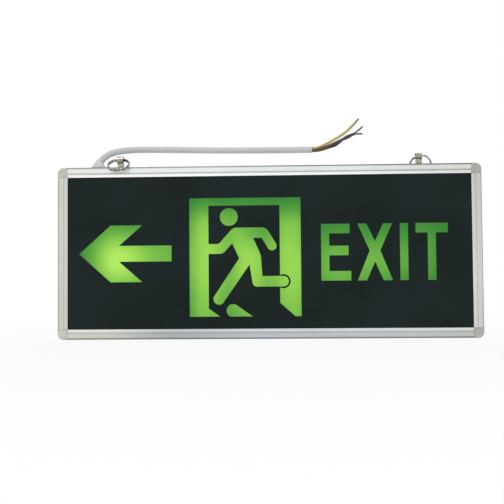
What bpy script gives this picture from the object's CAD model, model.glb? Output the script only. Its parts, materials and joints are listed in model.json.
import json
import math

import bmesh
import bpy
from mathutils import Matrix, Vector


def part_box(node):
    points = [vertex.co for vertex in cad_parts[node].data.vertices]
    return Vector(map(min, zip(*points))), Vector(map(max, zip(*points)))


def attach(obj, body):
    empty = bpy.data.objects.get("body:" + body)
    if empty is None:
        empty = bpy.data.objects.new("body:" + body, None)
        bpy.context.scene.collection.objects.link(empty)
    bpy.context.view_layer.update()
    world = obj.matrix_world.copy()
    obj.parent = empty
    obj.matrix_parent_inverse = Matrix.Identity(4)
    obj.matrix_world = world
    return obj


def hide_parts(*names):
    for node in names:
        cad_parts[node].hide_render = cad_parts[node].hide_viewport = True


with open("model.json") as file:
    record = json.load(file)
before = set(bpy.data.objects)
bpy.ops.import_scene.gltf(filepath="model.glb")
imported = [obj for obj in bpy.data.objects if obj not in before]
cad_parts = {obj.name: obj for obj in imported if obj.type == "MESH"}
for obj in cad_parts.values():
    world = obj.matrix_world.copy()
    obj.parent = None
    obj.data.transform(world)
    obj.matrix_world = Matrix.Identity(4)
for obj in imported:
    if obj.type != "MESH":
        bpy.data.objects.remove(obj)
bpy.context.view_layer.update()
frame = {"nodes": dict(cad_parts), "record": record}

MM = 0.001
WHITE = "#ffffff"
# a noise node's values lie mostly between these two
NOISE_LOW, NOISE_HIGH = 0.3, 0.7


# ---------------------------------------------------------------- helpers


def hex_colour(code, alpha=1.0):
    """Linear colour of an sRGB hex code."""
    channels = [int(code[place:place + 2], 16) / 255 for place in (1, 3, 5)]
    linear = [c / 12.92 if c <= 0.04045 else ((c + 0.055) / 1.055) ** 2.4 for c in channels]
    return (*linear, alpha)


def add(tree, kind, inputs=None, stops=(), **settings):
    """Add a node, set its properties and colour stops, and fill its inputs with values or links."""
    node = tree.nodes.new(kind)
    for name, value in settings.items():
        setattr(node, name, value)
    if stops:
        marks = node.color_ramp.elements
        marks.remove(marks[1])
        marks[0].position, marks[0].color = stops[0][0], hex_colour(stops[0][1])
        for position, code in stops[1:]:
            marks.new(position).color = hex_colour(code)
    for name, value in (inputs or {}).items():
        if isinstance(value, bpy.types.NodeSocket):
            tree.links.new(value, node.inputs[name])
        else:
            node.inputs[name].default_value = value
    return node


def new_finish(name, **sockets):
    """A material with one Principled surface, its sockets set by name with spaces as underscores."""
    material = bpy.data.materials.new(name)
    material.use_nodes = True
    tree = material.node_tree
    tree.nodes.clear()
    surface = add(tree, "ShaderNodeBsdfPrincipled",
                  {socket.replace("_", " "): value for socket, value in sockets.items()})
    add(tree, "ShaderNodeOutputMaterial", {"Surface": surface.outputs["BSDF"]})
    return material, tree, surface


def place_in_mm(tree, stretch=(1, 1, 1)):
    """The place on the object in millimetres, stretched along each axis."""
    place = add(tree, "ShaderNodeTexCoord").outputs["Object"]
    scale = [1 / MM / factor for factor in stretch]
    return add(tree, "ShaderNodeMapping", {"Vector": place, "Scale": scale}).outputs["Vector"]


def cloudy(tree, surface, light, dark, size_mm, stretch=(1, 1, 1), detail=3.0, softness=0.15):
    """Drift the surface's colour between two tones in patches of a given size and softness."""
    noise = add(tree, "ShaderNodeTexNoise",
                {"Vector": place_in_mm(tree, stretch), "Scale": 1 / size_mm, "Detail": detail})
    blend = add(tree, "ShaderNodeMapRange",
                {"Value": noise.outputs["Fac"], "From Min": 0.5 - softness, "From Max": 0.5 + softness})
    tint = add(tree, "ShaderNodeMix",
               {0: blend.outputs["Result"], 6: hex_colour(dark), 7: hex_colour(light)}, data_type="RGBA")
    tree.links.new(tint.outputs[2], surface.inputs["Base Color"])
    return tint.outputs[2]


def grained(tree, surface, size_mm, depth_mm, low, high, stretch=(1, 1, 1)):
    """Give the surface a fine bump of a given grain, and roughness that follows it."""
    noise = add(tree, "ShaderNodeTexNoise",
                {"Vector": place_in_mm(tree, stretch), "Scale": 1 / size_mm, "Detail": 4.0})
    bump = add(tree, "ShaderNodeBump",
               {"Height": noise.outputs["Fac"], "Distance": depth_mm * MM, "Strength": 1.0})
    tree.links.new(bump.outputs["Normal"], surface.inputs["Normal"])
    rough = add(tree, "ShaderNodeMapRange",
                {"Value": noise.outputs["Fac"], "From Min": NOISE_LOW, "From Max": NOISE_HIGH,
                 "To Min": low, "To Max": high})
    tree.links.new(rough.outputs["Result"], surface.inputs["Roughness"])


def mesh_piece(name, build, material):
    """A new object whose mesh is filled by a function that is given an empty bmesh."""
    mesh = bpy.data.meshes.new(name)
    shape = bmesh.new()
    build(shape)
    bmesh.ops.recalc_face_normals(shape, faces=shape.faces)
    shape.to_mesh(mesh)
    shape.free()
    mesh.materials.append(material)
    piece = bpy.data.objects.new(name, mesh)
    bpy.context.scene.collection.objects.link(piece)
    return piece


def skin(shape, rows):
    """Join rows of points, each a closed ring, into a tube with its two ends filled."""
    rings = [[shape.verts.new(point) for point in row] for row in rows]
    for low, high in zip(rings, rings[1:]):
        for index in range(len(low)):
            following = (index + 1) % len(low)
            face = shape.faces.new([low[index], low[following], high[following], high[index]])
            face.smooth = True
    shape.faces.new(rings[0])
    shape.faces.new(rings[-1])


# ---------------------------------------------------------------- finishes of the frame

frame_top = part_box("top_rail")[1].z
sign_middle = Vector((0, 0, frame_top / 2))

# where each tone of a rail lies across it, as shares of its width from the outside inwards
RAIL_BANDS = (0.0, 0.02, 0.11, 0.2, 0.56, 0.61, 0.7, 0.78)
# fine lines left by the die, drawn out along the rail, and the slow drift of its sheen
DIE_LINE_MM, DRAWN_OUT, SHEEN_DRIFT_MM = 0.6, 60, 90
SHEEN_DULL, SHEEN_BRIGHT = 0.93, 1.07


def anodised_rail(name, node, side, edge, face, groove, lip, tints):
    """Satin anodised aluminium: a pale face with faint lines along it, a dark line where it
    rounds over to its outer side, darker again in its groove and brighter on the lip inside.
    The tints are colour stops that shade it slowly from one end of the rail to the other."""
    material, tree, surface = new_finish(name, Metallic=1.0, Roughness=0.4)
    low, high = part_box(node)
    upright = high.z - low.z > high.x - low.x
    middle = (low + high) / 2
    if upright:
        inner, outer = (high.x, low.x) if middle.x < 0 else (low.x, high.x)
    else:
        inner, outer = (low.z, high.z) if middle.z > sign_middle.z else (high.z, low.z)
    place = add(tree, "ShaderNodeTexCoord").outputs["Object"]
    parts = add(tree, "ShaderNodeSeparateXYZ", {"Vector": place})
    across = add(tree, "ShaderNodeMapRange",
                 {"Value": parts.outputs["X" if upright else "Z"], "From Min": outer, "From Max": inner})
    tone = add(tree, "ShaderNodeValToRGB", {"Fac": across.outputs["Result"]},
               stops=list(zip(RAIL_BANDS, (side, edge, edge, face, face, groove, groove, lip))))
    start, finish = (low.z, high.z) if upright else (low.x, high.x)
    along = add(tree, "ShaderNodeMapRange",
                {"Value": parts.outputs["Z" if upright else "X"], "From Min": start, "From Max": finish})
    tinge = add(tree, "ShaderNodeValToRGB", {"Fac": along.outputs["Result"]}, stops=tints)
    tinted = add(tree, "ShaderNodeVectorMath", {0: tone.outputs["Color"], 1: tinge.outputs["Color"]},
                 operation="MULTIPLY")
    stretch = (1, 1, DRAWN_OUT) if upright else (DRAWN_OUT, 1, 1)
    lines = add(tree, "ShaderNodeTexNoise",
                {"Vector": place_in_mm(tree, stretch), "Scale": 1 / DIE_LINE_MM, "Detail": 4.0})
    drift = add(tree, "ShaderNodeTexNoise",
                {"Vector": place_in_mm(tree), "Scale": 1 / SHEEN_DRIFT_MM, "Detail": 1.0})
    both = add(tree, "ShaderNodeMath", {0: lines.outputs["Fac"], 1: drift.outputs["Fac"]}, operation="ADD")
    level = add(tree, "ShaderNodeMapRange",
                {"Value": both.outputs["Value"], "From Min": 0.7, "From Max": 1.3,
                 "To Min": SHEEN_DULL, "To Max": SHEEN_BRIGHT})
    tint = add(tree, "ShaderNodeVectorMath", {0: tinted.outputs["Vector"], "Scale": level.outputs["Result"]},
               operation="SCALE")
    tree.links.new(tint.outputs["Vector"], surface.inputs["Base Color"])
    grained(tree, surface, 0.15, 0.0012, 0.34, 0.44, stretch)
    return material


# the seam between block and rail: its full depth and where it ends, and its shade
SEAM_CORE, SEAM_EDGE, SEAM_SHADE = 0.2 * MM, 0.9 * MM, 0.68


def moulded_grey(name, light, dark):
    """Fine-sparked grey ABS of the corner blocks: even and dull beside the metal, with a dark
    hairline where a block meets its two rails."""
    material, tree, surface = new_finish(name, Roughness=0.5, IOR=1.5, Specular_IOR_Level=0.3)
    tint = cloudy(tree, surface, light, dark, 2.2)
    low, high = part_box("top_rail")
    rail_end, rail_foot = high.x, low.z - sign_middle.z
    place = add(tree, "ShaderNodeTexCoord").outputs["Object"]
    from_middle = add(tree, "ShaderNodeVectorMath", {0: place, 1: sign_middle}, operation="SUBTRACT")
    mirrored = add(tree, "ShaderNodeVectorMath", {0: from_middle.outputs["Vector"]}, operation="ABSOLUTE")
    past = add(tree, "ShaderNodeVectorMath",
               {0: mirrored.outputs["Vector"], 1: (rail_end, 0, rail_foot)}, operation="SUBTRACT")
    parts = add(tree, "ShaderNodeSeparateXYZ", {"Vector": past.outputs["Vector"]})
    nearest = add(tree, "ShaderNodeMath",
                  {0: parts.outputs["X"], 1: parts.outputs["Z"]}, operation="MINIMUM")
    seam = add(tree, "ShaderNodeMapRange",
               {"Value": nearest.outputs["Value"], "From Min": SEAM_CORE, "From Max": SEAM_EDGE,
                "To Min": SEAM_SHADE, "To Max": 1.0},
               interpolation_type="SMOOTHSTEP")
    shaded = add(tree, "ShaderNodeVectorMath", {0: tint, "Scale": seam.outputs["Result"]}, operation="SCALE")
    tree.links.new(shaded.outputs["Vector"], surface.inputs["Base Color"])
    grained(tree, surface, 0.25, 0.006, 0.45, 0.58)
    return material


def screen_black(name):
    """Black screen print on film: blue-green black, smooth, with a faint cloudiness."""
    material, tree, surface = new_finish(name, Roughness=0.3, IOR=1.5, Specular_IOR_Level=0.09)
    cloudy(tree, surface, "#1f2b2b", "#172321", 60.0)
    grained(tree, surface, 0.3, 0.0006, 0.3, 0.38)
    return material


def white_enamel(name):
    """Powder-coated white sheet metal: slight orange peel and a soft shine."""
    material, tree, surface = new_finish(name, Roughness=0.4, IOR=1.5)
    cloudy(tree, surface, "#eff1ef", "#ebedeb", 45.0)
    grained(tree, surface, 1.2, 0.004, 0.34, 0.44)
    return material


# ---------------------------------------------------------------- the lit legend

# how bright each LED's pool is, how far it reaches along the panel and up and down it, and
# how far above its LED it is centred, in mm
LED_POOLS = [
    (0.85, 38, 45, 0), (0.44, 37, 62, 1), (0.67, 25, 140, 0), (0.69, 40, 127, 5), (0.65, 26, 117, -7),
    (0.46, 39, 43, -4), (0.40, 34, 38, -1),
]
# a dimmer and a brighter patch that the pools alone don't give: place across and up in mm,
# strength, and reach across and up in mm
GLOW_PATCHES = [(-11, 96, -0.32, 22, 32), (127, 69, 0.28, 25, 38)]
# the glow everywhere, before the pools are added, and how uneven the moulded sheet makes it
GLOW_FLOOR, UNEVEN_MM, UNEVEN_SHARE = 0.16, 7, 0.05
# the light thins out above the row of LEDs, from the first of these heights to the second
FADE_START, FADE_END, FADE_KEPT = 95 * MM, 128 * MM, 0.14
# the panel's colour from where least light comes through it to where most does
PANEL_TONES = [
    (0.0, "#2d6e36"), (0.24, "#3f8b38"), (0.4, "#519e3b"), (0.58, "#6eb446"), (0.78, "#8fd150"),
    (0.92, "#a7e25b"), (1.0, "#b6ee64"),
]
PANEL_LIGHT = 0.94


def lit_green_panel(name):
    """Translucent green acrylic: yellow-green in front of each LED, deeper green between them."""
    material, tree, surface = new_finish(name, Roughness=0.3, IOR=1.49, Specular_IOR_Level=0.08)
    place = add(tree, "ShaderNodeTexCoord").outputs["Object"]
    pools = [(x * MM, z * MM, *patch) for x, z, *patch in GLOW_PATCHES]
    for number, (strength, along, upward, rise) in enumerate(LED_POOLS, start=1):
        low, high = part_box(f"led_{number}")
        middle = (low + high) / 2
        pools.append((middle.x, middle.z + rise * MM, strength, along, upward))
    glow = GLOW_FLOOR
    for x, z, strength, along, upward in pools:
        shrink = (1 / (along * MM), 0, 1 / (upward * MM))
        spot = (x * shrink[0], 0, z * shrink[2])
        flat = add(tree, "ShaderNodeVectorMath", {0: place, 1: shrink}, operation="MULTIPLY")
        away = add(tree, "ShaderNodeVectorMath", {0: flat.outputs["Vector"], 1: spot}, operation="DISTANCE")
        pool = add(tree, "ShaderNodeMapRange",
                   {"Value": away.outputs["Value"], "To Min": strength, "To Max": 0.0},
                   interpolation_type="SMOOTHSTEP")
        brighter = add(tree, "ShaderNodeMath", {0: pool.outputs["Result"], 1: glow}, operation="ADD")
        glow = brighter.outputs["Value"]
    noise = add(tree, "ShaderNodeTexNoise",
                {"Vector": place_in_mm(tree), "Scale": 1 / UNEVEN_MM, "Detail": 2.0})
    uneven = add(tree, "ShaderNodeMath",
                 {0: noise.outputs["Fac"], 1: UNEVEN_SHARE, 2: glow}, operation="MULTIPLY_ADD")
    height = add(tree, "ShaderNodeSeparateXYZ", {"Vector": place}).outputs["Z"]
    fade = add(tree, "ShaderNodeMapRange",
               {"Value": height, "From Min": FADE_START, "From Max": FADE_END,
                "To Min": 1.0, "To Max": FADE_KEPT},
               interpolation_type="SMOOTHSTEP")
    faded = add(tree, "ShaderNodeMath",
                {0: uneven.outputs["Value"], 1: fade.outputs["Result"]}, operation="MULTIPLY")
    tone = add(tree, "ShaderNodeValToRGB", {"Fac": faded.outputs["Value"]}, stops=PANEL_TONES)
    tree.links.new(tone.outputs["Color"], surface.inputs["Emission Color"])
    surface.inputs["Emission Strength"].default_value = PANEL_LIGHT
    surface.inputs["Base Color"].default_value = hex_colour("#12260f")
    return material


# ---------------------------------------------------------------- finishes of metal and wire


def nickel_plate(name, light, dark, roughness):
    """Bright nickel plate on steel wire and strip: warm grey with small dull patches."""
    material, tree, surface = new_finish(name, Metallic=1.0, Roughness=roughness)
    cloudy(tree, surface, light, dark, 1.6, softness=0.12)
    grained(tree, surface, 0.5, 0.004, roughness - 0.06, roughness + 0.1)
    return material


def pvc_jacket(name, light, dark):
    """Soft extruded PVC: smooth and nearly matt, with a faint lengthwise waviness."""
    material, tree, surface = new_finish(name, Roughness=0.5, IOR=1.52, Specular_IOR_Level=0.35)
    cloudy(tree, surface, light, dark, 14.0, (3, 1, 1), detail=1.0)
    grained(tree, surface, 1.5, 0.004, 0.46, 0.54, (4, 1, 1))
    return material


# the stripes of the earth core lie along its rise, one pair to its width
STRIPE_RISE, STRIPE_SCALE = math.radians(33), 0.1


def earth_insulation(name, yellow, green):
    """Two-colour PVC of the earth core: a green stripe that runs along the yellow and wavers a little."""
    material, tree, surface = new_finish(name, Roughness=0.45, IOR=1.52)
    along = add(tree, "ShaderNodeMapping", {"Vector": place_in_mm(tree), "Rotation": (0, STRIPE_RISE, 0)})
    stripes = add(tree, "ShaderNodeTexWave",
                  {"Vector": along.outputs["Vector"], "Scale": STRIPE_SCALE, "Distortion": 0.4},
                  bands_direction="Z")
    edge = add(tree, "ShaderNodeMapRange",
               {"Value": stripes.outputs["Fac"], "From Min": 0.4, "From Max": 0.75})
    tint = add(tree, "ShaderNodeMix",
               {0: edge.outputs["Result"], 6: hex_colour(yellow), 7: hex_colour(green)}, data_type="RGBA")
    tree.links.new(tint.outputs[2], surface.inputs["Base Color"])
    grained(tree, surface, 0.5, 0.006, 0.4, 0.5)
    return material


def milky_vinyl(name):
    """Soft milky vinyl of the gland: lets some light through and blurs the rest."""
    material, tree, surface = new_finish(name, Roughness=0.38, IOR=1.52, Transmission_Weight=0.25)
    cloudy(tree, surface, "#f3f4f3", "#e9ebe9", 3.0)
    grained(tree, surface, 0.6, 0.006, 0.34, 0.42)
    return material


def clear_dome(name, light, dark):
    """Tinted epoxy of an indicator lamp: glassy, deep in colour."""
    material, tree, surface = new_finish(name, Roughness=0.12, IOR=1.55, Transmission_Weight=0.4)
    cloudy(tree, surface, light, dark, 1.5)
    grained(tree, surface, 0.6, 0.001, 0.1, 0.16)
    return material


def moulded(name, light, dark, roughness=0.45, grain_mm=0.4):
    """Plain moulded or wrapped plastic with a fine grain."""
    material, tree, surface = new_finish(name, Roughness=roughness, IOR=1.5)
    cloudy(tree, surface, light, dark, 2.5)
    grained(tree, surface, grain_mm, 0.005, roughness - 0.05, roughness + 0.08)
    return material


def circuit_board(name, mask_light, mask_dark, track):
    """Printed board: solder mask with the pattern of the tracks showing through it."""
    material, tree, surface = new_finish(name, Roughness=0.35, IOR=1.5)
    cells = add(tree, "ShaderNodeTexBrick",
                {"Vector": place_in_mm(tree), "Scale": 0.16, "Mortar Size": 0.035,
                 "Color1": hex_colour(mask_light), "Color2": hex_colour(mask_dark), "Mortar": hex_colour(track)})
    tree.links.new(cells.outputs["Color"], surface.inputs["Base Color"])
    grained(tree, surface, 0.3, 0.003, 0.3, 0.42)
    return material


# a finish for every material slot of the record
finishes = {
    "anodised": anodised_rail(
        "anodised_top_rail", "top_rail", "#b9bdbc", "#6c7070", "#e8eeec", "#bdc4c4", "#fafcfc",
        [(0.0, "#fcf8f4"), (0.18, "#fffcfb"), (0.5, "#ffffff"), (0.73, "#f8f9f8"), (0.82, "#f1f1f0"),
         (1.0, "#e7e3df")]),
    "corner_grey": moulded_grey("grey_abs", "#cfd1c8", "#c0c2b9"),
    "mask_black": screen_black("black_screen_print"),
    "panel_green": lit_green_panel("green_acrylic"),
    "diffuser_white": moulded("opal_film", "#f0f1ee", "#e8e9e6", 0.6, 0.2),
    "plate_white": white_enamel("white_enamel"),
    "board_white": circuit_board("white_board", "#e9ebe8", "#e3e5e2", "#cfd2cc"),
    "board_green": circuit_board("green_board", "#2c6a3f", "#265f38", "#3f8250"),
    "led_lens": moulded("led_silicone", "#ecdc72", "#dccb5e", 0.25, 0.2),
    "nylon": moulded("natural_nylon", "#dedfd6", "#d2d3ca", 0.5, 0.3),
    "film_case": moulded("film_capacitor_epoxy", "#c9a43c", "#bd9836", 0.4, 0.3),
    "can": nickel_plate("capacitor_can", "#4a4f58", "#3c4149", 0.35),
    "chip_black": moulded("chip_epoxy", "#2b2c2e", "#232426", 0.55, 0.2),
    "fuse_body": moulded("fuse_enamel", "#7f9a78", "#738d6c", 0.35, 0.3),
    "terminal_green": moulded("terminal_nylon", "#3c8f52", "#338248", 0.45, 0.3),
    "cell_blue": moulded("cell_shrink_wrap", "#2f5fa8", "#28549a", 0.3, 0.8),
    "strap_steel": nickel_plate("zinc_strap", "#b9bcbd", "#a6a9aa", 0.35),
    "plug_white": moulded("plug_nylon", "#eceae2", "#e0ded6", 0.45, 0.3),
    "button_white": moulded("button_abs", "#e6e6e2", "#dcdcd8", 0.4, 0.3),
    "lamp_green": clear_dome("green_lamp_epoxy", "#4fa85a", "#3f934b"),
    "lamp_amber": clear_dome("amber_lamp_epoxy", "#e0a33c", "#cf9230"),
    "lamp_red": clear_dome("red_lamp_epoxy", "#c9403a", "#b53530"),
    "gland_clear": milky_vinyl("milky_vinyl"),
    "nickel": nickel_plate("nickel_wire", "#c8c8c1", "#696861", 0.22),
    "hanger_steel": nickel_plate("nickel_strip", "#b7b7aa", "#858477", 0.28),
    "jacket": pvc_jacket("grey_pvc", "#d8dbde", "#d2d5d8"),
    "insulation_yellow_green": earth_insulation("yellow_green_pvc", "#d3cb7c", "#a9a552"),
    "insulation_brown": pvc_jacket("brown_pvc", "#725236", "#5a412b"),
    "insulation_blue": pvc_jacket("blue_pvc", "#473d52", "#3b3245"),
    "copper": nickel_plate("tinned_strands", "#7b7773", "#4a4643", 0.42),
}
# rails and corner blocks that are a little paler, darker or bluer than their slot's finish, by node
own_finishes = {
    "bottom_rail": anodised_rail(
        "anodised_bottom_rail", "bottom_rail", "#b2b1aa", "#888984", "#d0cfc7", "#c3c2bc", "#dddcd3",
        [(0.0, "#ffffff"), (0.1, "#fdffff"), (0.18, "#e7eaf2"), (0.26, "#d9dfeb"), (0.36, "#e1e8f4"),
         (0.5, "#e7edff"), (0.8, "#e9effb"), (0.9, "#e2e6ef"), (1.0, "#e0e3e5")]),
    "left_rail": anodised_rail(
        "anodised_left_rail", "left_rail", "#b9bab5", "#a6a7a2", "#cfd0c9", "#c9cbc3", "#cdd0c8",
        [(0.0, "#fdfdfb"), (1.0, "#ffffff")]),
    "right_rail": anodised_rail(
        "anodised_right_rail", "right_rail", "#b9b9b5", "#9d9d99", "#cac8c4", "#cac9c3", "#d4d5d0",
        [(0.0, "#f9f9f9"), (0.3, "#ffffff"), (0.55, "#fbfbfb"), (0.85, "#f5f7f6"), (1.0, "#f1f3f2")]),
    "corner_top_left": moulded_grey("grey_abs_light", "#dddfd5", "#cdcfc6"),
    "corner_top_right": moulded_grey("grey_abs_dark", "#c2c3bb", "#b4b5ad"),
    "corner_bottom_left": moulded_grey("grey_abs_pale", "#e9ebe1", "#dadcd2"),
}

for part in frame["record"]["subparts"]:
    node = frame["nodes"][part["node"]]
    finish = own_finishes.get(part["node"], finishes[part["material_slot"]])
    node.data.materials.clear()
    node.data.materials.append(finish)
    for polygon in node.data.polygons:
        polygon.material_index = 0


# ---------------------------------------------------------------- supply cable and cores

# how finely a cord is divided round it and along each span of its spline
CORD_ROUND, CORD_ALONG = 6, 14


def cord_curve(name, route, diameter, material):
    """A round cord on one smooth spline with the route as its control points."""
    curve = bpy.data.curves.new(name, "CURVE")
    curve.dimensions = "3D"
    curve.bevel_depth = diameter / 2
    curve.bevel_resolution = CORD_ROUND
    curve.resolution_u = CORD_ALONG
    curve.use_fill_caps = True
    spline = curve.splines.new("NURBS")
    spline.points.add(len(route) - 1)
    for point, place in zip(spline.points, route):
        point.co = (*place, 1.0)
    spline.order_u = 3
    spline.use_endpoint_u = True
    curve.materials.append(material)
    cord = bpy.data.objects.new(name, curve)
    bpy.context.scene.collection.objects.link(cord)
    return cord


# the cable leaves its gland, leans over and lies along above the sign
CABLE_ROUTE = [
    (-0.1440, 0.0000, 0.1491), (-0.1410, 0.0004, 0.1536), (-0.1331, 0.0022, 0.1593),
    (-0.1157, 0.0050, 0.1619), (-0.0820, 0.0069, 0.1616), (-0.0220, 0.0060, 0.1599),
    (0.0380, 0.0060, 0.1599),
]
# the cores leave the jacket's end side by side and fan out upwards
CORE_ROUTES = {
    "yellow_green": [
        (0.0380, 0.00600, 0.1612), (0.0420, 0.00600, 0.1612), (0.0478, 0.0060, 0.1634),
        (0.0540, 0.0060, 0.1668), (0.0600, 0.0060, 0.1702), (0.0655, 0.0060, 0.1736),
        (0.0707, 0.0061, 0.1778), (0.0750, 0.0062, 0.1826),
    ],
    "brown": [
        (0.0380, 0.00485, 0.1592), (0.0420, 0.00485, 0.1592), (0.0470, 0.0050, 0.1606),
        (0.0520, 0.0052, 0.1628), (0.0575, 0.0054, 0.1653), (0.0630, 0.0056, 0.1680),
        (0.0688, 0.0056, 0.1697), (0.0738, 0.0054, 0.1732),
    ],
    "blue": [
        (0.0380, 0.00715, 0.1592), (0.0420, 0.00715, 0.1592), (0.0470, 0.0073, 0.1601),
        (0.0535, 0.0075, 0.1624), (0.0582, 0.0052, 0.1632), (0.0622, 0.0030, 0.1664),
        (0.0660, 0.0030, 0.1693), (0.0695, 0.0031, 0.1713), (0.0738, 0.0032, 0.1722),
    ],
}
CABLE_DIAMETER, CORE_DIAMETER = 5.5 * MM, 2.3 * MM

STRAND_LENGTHS = {"yellow_green": 5.0 * MM, "brown": 10.0 * MM, "blue": 8.0 * MM}
# how far each bundle sags by its tip
STRAND_SAGS = {"yellow_green": 0.0, "brown": -0.5 * MM, "blue": 1.6 * MM}
# each wire's thickness, and the length in which the outer wires go once round the middle one
STRAND_WIRE, STRAND_LAY = 0.48 * MM, 9 * MM
# how much of the bundle's length each wire reaches, and how far the wires open by its tip
STRAND_REACHES, STRAND_FRAY = (1.0, 0.82, 0.94, 0.74, 0.9, 0.68, 0.86), 0.35
STRAND_SIDES, STRAND_STEPS = 6, 10


def strand_bundle(shape, start, direction, length, sag):
    """Seven fine wires, six of them laid round the first, that run out at different lengths."""
    turn = direction.to_track_quat("Z", "Y")
    corners = [2 * math.pi * corner / STRAND_SIDES for corner in range(STRAND_SIDES)]
    section = [STRAND_WIRE / 2 * Vector((math.cos(side), math.sin(side), 0)) for side in corners]
    for wire, reach in enumerate(STRAND_REACHES):
        spread = 0 if wire == 0 else STRAND_WIRE
        rows = []
        for step in range(STRAND_STEPS + 1):
            along = length * reach * step / STRAND_STEPS
            angle = math.radians(60 * wire) + 2 * math.pi * along / STRAND_LAY
            out = spread * (1 + STRAND_FRAY * (along / length) ** 2)
            middle = Vector((out * math.cos(angle), out * math.sin(angle), along))
            drop = Vector((0, 0, -sag * (along / length) ** 2))
            rows.append([start + drop + turn @ (middle + corner) for corner in section])
        skin(shape, rows)


for colour, route in CORE_ROUTES.items():
    core = cord_curve(f"{colour}_core", route, CORE_DIAMETER, finishes[f"insulation_{colour}"])
    end = Vector(route[-1])
    onward = (end - Vector(route[-2])).normalized()
    length, sag = STRAND_LENGTHS[colour], STRAND_SAGS[colour]
    strands = mesh_piece(f"{colour}_strands",
                         lambda shape: strand_bundle(shape, end, onward, length, sag), finishes["copper"])
    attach(strands, "sign")
    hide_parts(f"strand_{colour}")
    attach(core, "sign")
    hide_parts(f"core_{colour}")


# ---------------------------------------------------------------- gland

NECK_RADIUS, LIP_RADIUS = 4.9 * MM, 3.35 * MM
# the soft skirt spreads by this much beyond the moulding's own foot
SKIRT_SPREAD = 1.18
# height of the skirt's upright side, then of its rounded edge, and how far that edge draws in
SKIRT_SIDE, SKIRT_TOP, SKIRT_ROUND = 0.6 * MM, 0.9 * MM, 0.3 * MM
# how far the cone reaches along the cable, how late it leans over and how early it narrows
CONE_REACH, CONE_LATE, CONE_EARLY = 2.8 * MM, 1.6, 0.7
GLAND_SIDES, CONE_STEPS = 40, 10


def gland_skin(shape):
    """Neck, skirt and leaning cone of the gland in one soft moulding round the cable."""
    low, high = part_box("cable_gland")
    skirt_radius = SKIRT_SPREAD * (high.x - low.x) / 2
    foot = Vector(((low.x + high.x) / 2, 0, frame_top))
    mouth, beyond = Vector(CABLE_ROUTE[0]), Vector(CABLE_ROUTE[1])
    lean = (beyond - mouth).normalized()
    upright = Vector((0, 0, 1))
    angles = [2 * math.pi * side / GLAND_SIDES for side in range(GLAND_SIDES)]
    spokes = [Vector((math.cos(angle), math.sin(angle), 0)) for angle in angles]

    def row(middle, axis, radius):
        turn = upright.rotation_difference(axis)
        return [middle + turn @ (spoke * radius) for spoke in spokes]

    shoulder_radius = skirt_radius - SKIRT_ROUND
    start, end = foot + upright * SKIRT_TOP, mouth + lean * CONE_REACH
    rows = [
        row(Vector((foot.x, 0, low.z)), upright, NECK_RADIUS),
        row(foot, upright, NECK_RADIUS),
        row(foot, upright, skirt_radius),
        row(foot + upright * SKIRT_SIDE, upright, skirt_radius),
        row(start, upright, shoulder_radius),
    ]
    # the cone sweeps over from upright to the lean of the cable, hollowing a little on its way
    for step in range(1, CONE_STEPS + 1):
        share = step / CONE_STEPS
        axis = upright.lerp(lean, share ** CONE_LATE).normalized()
        radius = shoulder_radius - (shoulder_radius - LIP_RADIUS) * share ** CONE_EARLY
        rows.append(row(start.lerp(end, share), axis, radius))
    skin(shape, rows)


gland = mesh_piece("gland_moulding", gland_skin, finishes["gland_clear"])
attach(gland, "sign")
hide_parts("cable_gland")

cable = cord_curve("cable_jacket", CABLE_ROUTE, CABLE_DIAMETER, finishes["jacket"])
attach(cable, "sign")
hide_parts("supply_cable")


# ---------------------------------------------------------------- split rings

RING_RADIUS = 8.9 * MM
WIRE_WIDE, WIRE_THICK, WIRE_SIDES = 1.45 * MM, 1.2 * MM, 12
# a power under 1 pushes the wire's round section out towards its corners
WIRE_SQUARENESS = 0.6
# each turn is this much thinner than its share, so that the two stay apart
TURN_GAP = 0.97
# degrees: where the wire steps from one turn to the other, and the length of one facet
JOG, FACET = 26, 4


def squared(value):
    """A sine or cosine pushed out towards 1, with its sign kept."""
    return math.copysign(abs(value) ** WIRE_SQUARENESS, value)


def split_turns(shape):
    """Two turns of drawn flat wire about Z, with rounded edges and a step from one turn to the other."""
    sides = [2 * math.pi * side / WIRE_SIDES for side in range(WIRE_SIDES)]
    section = [
        (squared(math.cos(side)) * WIRE_WIDE / 2, squared(math.sin(side)) * WIRE_THICK / 2 * TURN_GAP)
        for side in sides
    ]
    rows = []
    for angle in range(JOG, 721, FACET):
        step = min(max((angle - 360) / JOG, 0), 1)
        level = (step - 0.5) * WIRE_THICK
        across = Vector((math.cos(math.radians(angle)), math.sin(math.radians(angle)), 0))
        rows.append([
            across * (RING_RADIUS + wide) + Vector((0, 0, level + thick)) for wide, thick in section
        ])
    skin(shape, rows)


# each ring's turn about the eye, and its spin about its own axis, in degrees
for side, turn_up, spin in (("left", 37, -100), ("right", 121, -32)):
    node = f"ring_{side}"
    low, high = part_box(node)
    place = Matrix.Translation((low + high) / 2) @ Matrix.Rotation(math.radians(turn_up), 4, "X")
    ring = mesh_piece(f"split_{node}", split_turns, finishes["nickel"])
    ring.data.transform(place @ Matrix.Rotation(math.radians(90 + spin), 4, "Z"))
    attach(ring, f"{side}_ring")
    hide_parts(node)


# ---------------------------------------------------------------- floor, light and camera

# near the sign this share of the floor is plain white and the rest takes the shadow, and between
# the two distances it turns to plain white all over
SHADOW_SHARE, SHADOW_NEAR, SHADOW_FAR = 0.88, 0.15, 0.5
FLOOR_HALF, FLOOR_CELLS, FLOOR_DROP = 6.0, 8, 0.0002
AMBIENT = 0.42


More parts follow.
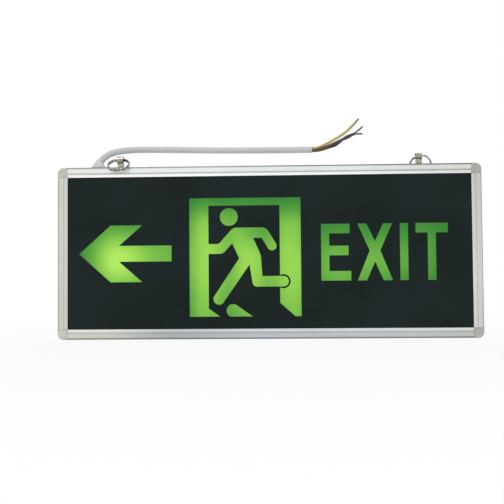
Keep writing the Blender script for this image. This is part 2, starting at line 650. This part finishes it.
def looked_at(tree):
    """1 for what is seen, straight or in metal or through glass, and 0 for what only gives light."""
    rays = add(tree, "ShaderNodeLightPath")
    seen = rays.outputs["Is Camera Ray"]
    for kind in ("Is Glossy Ray", "Is Transmission Ray"):
        either = add(tree, "ShaderNodeMath", {0: seen, 1: rays.outputs[kind]}, operation="MAXIMUM")
        seen = either.outputs["Value"]
    return seen


def studio_white():
    """Matt white floor that reads as paper white and still takes the sign's soft shadow."""
    material = bpy.data.materials.new("studio_white")
    material.use_nodes = True
    tree = material.node_tree
    tree.nodes.clear()
    place = add(tree, "ShaderNodeTexCoord").outputs["Object"]
    away = add(tree, "ShaderNodeVectorMath", {0: place}, operation="LENGTH")
    plain = add(tree, "ShaderNodeMapRange",
                {"Value": away.outputs["Value"], "From Min": SHADOW_NEAR, "From Max": SHADOW_FAR,
                 "To Min": SHADOW_SHARE, "To Max": 1.0},
                interpolation_type="SMOOTHSTEP")
    share = add(tree, "ShaderNodeMath", {0: looked_at(tree), 1: plain.outputs["Result"]}, operation="MULTIPLY")
    paper = add(tree, "ShaderNodeBsdfDiffuse", {"Color": hex_colour("#f6f6f6")})
    glow = add(tree, "ShaderNodeEmission", {"Color": hex_colour(WHITE), "Strength": 1.0})
    mixed = add(tree, "ShaderNodeMixShader",
                {0: share.outputs["Value"], 1: paper.outputs["BSDF"], 2: glow.outputs["Emission"]})
    add(tree, "ShaderNodeOutputMaterial", {"Surface": mixed.outputs["Shader"]})
    return material


def floor_grid(shape):
    """A flat square floor round the sign."""
    bmesh.ops.create_grid(shape, x_segments=FLOOR_CELLS, y_segments=FLOOR_CELLS, size=FLOOR_HALF)


floor = mesh_piece("studio_floor", floor_grid, studio_white())
floor.location.z = -FLOOR_DROP

world = bpy.data.worlds.new("studio")
bpy.context.scene.world = world
world.use_nodes = True
tree = world.node_tree
tree.nodes.clear()
level = add(tree, "ShaderNodeMapRange", {"Value": looked_at(tree), "To Min": AMBIENT, "To Max": 1.0})
sky = add(tree, "ShaderNodeBackground", {"Color": hex_colour(WHITE), "Strength": level.outputs["Result"]})
add(tree, "ShaderNodeOutputWorld", {"Surface": sky.outputs["Background"]})


def soft_light(name, place, aim, width, watts):
    """A square soft box that points at a place, its width in metres."""
    lamp = bpy.data.lights.new(name, "AREA")
    lamp.shape, lamp.size, lamp.energy = "SQUARE", width, watts
    light = bpy.data.objects.new(name, lamp)
    light.location = place
    light.rotation_euler = (Vector(aim) - Vector(place)).to_track_quat("-Z", "Y").to_euler()
    bpy.context.scene.collection.objects.link(light)


soft_light("key_light", (-0.5, -0.9, 1.5), sign_middle, 0.9, 9)
soft_light("fill_light", (1.1, -1.0, 0.5), sign_middle, 0.9, 3)
soft_light("back_light", (0.2, 1.3, 0.9), sign_middle, 0.9, 9)

# the camera stands a little right of the sign's middle and below it, rolled by half a degree
VIEW_AZIMUTH, VIEW_ELEVATION, VIEW_ROLL = (math.radians(angle) for angle in (1.909, -1.934, -0.455))
# metres, and then mm of focal length and of the film's width
VIEW_DISTANCE, VIEW_LENS, VIEW_FILM = 0.600, 51.365, 36.0
VIEW_AIM = Vector((-13.52, -8.0, 72.40)) * MM
outward = Vector((
    math.sin(VIEW_AZIMUTH) * math.cos(VIEW_ELEVATION),
    -math.cos(VIEW_AZIMUTH) * math.cos(VIEW_ELEVATION),
    math.sin(VIEW_ELEVATION),
))
right = Vector((math.cos(VIEW_AZIMUTH), math.sin(VIEW_AZIMUTH), 0))
upward = outward.cross(right)
rolled_right = math.cos(VIEW_ROLL) * right + math.sin(VIEW_ROLL) * upward
rolled_up = math.cos(VIEW_ROLL) * upward - math.sin(VIEW_ROLL) * right
lens = bpy.data.cameras.new("camera")
lens.lens, lens.sensor_width, lens.clip_start = VIEW_LENS, VIEW_FILM, 0.01
camera = bpy.data.objects.new("camera", lens)
bpy.context.scene.collection.objects.link(camera)
turn = Matrix((rolled_right, rolled_up, outward)).transposed()
camera.matrix_world = Matrix.Translation(VIEW_AIM + outward * VIEW_DISTANCE) @ turn.to_4x4()
bpy.context.scene.camera = camera
bpy.context.scene.view_settings.view_transform = "Standard"
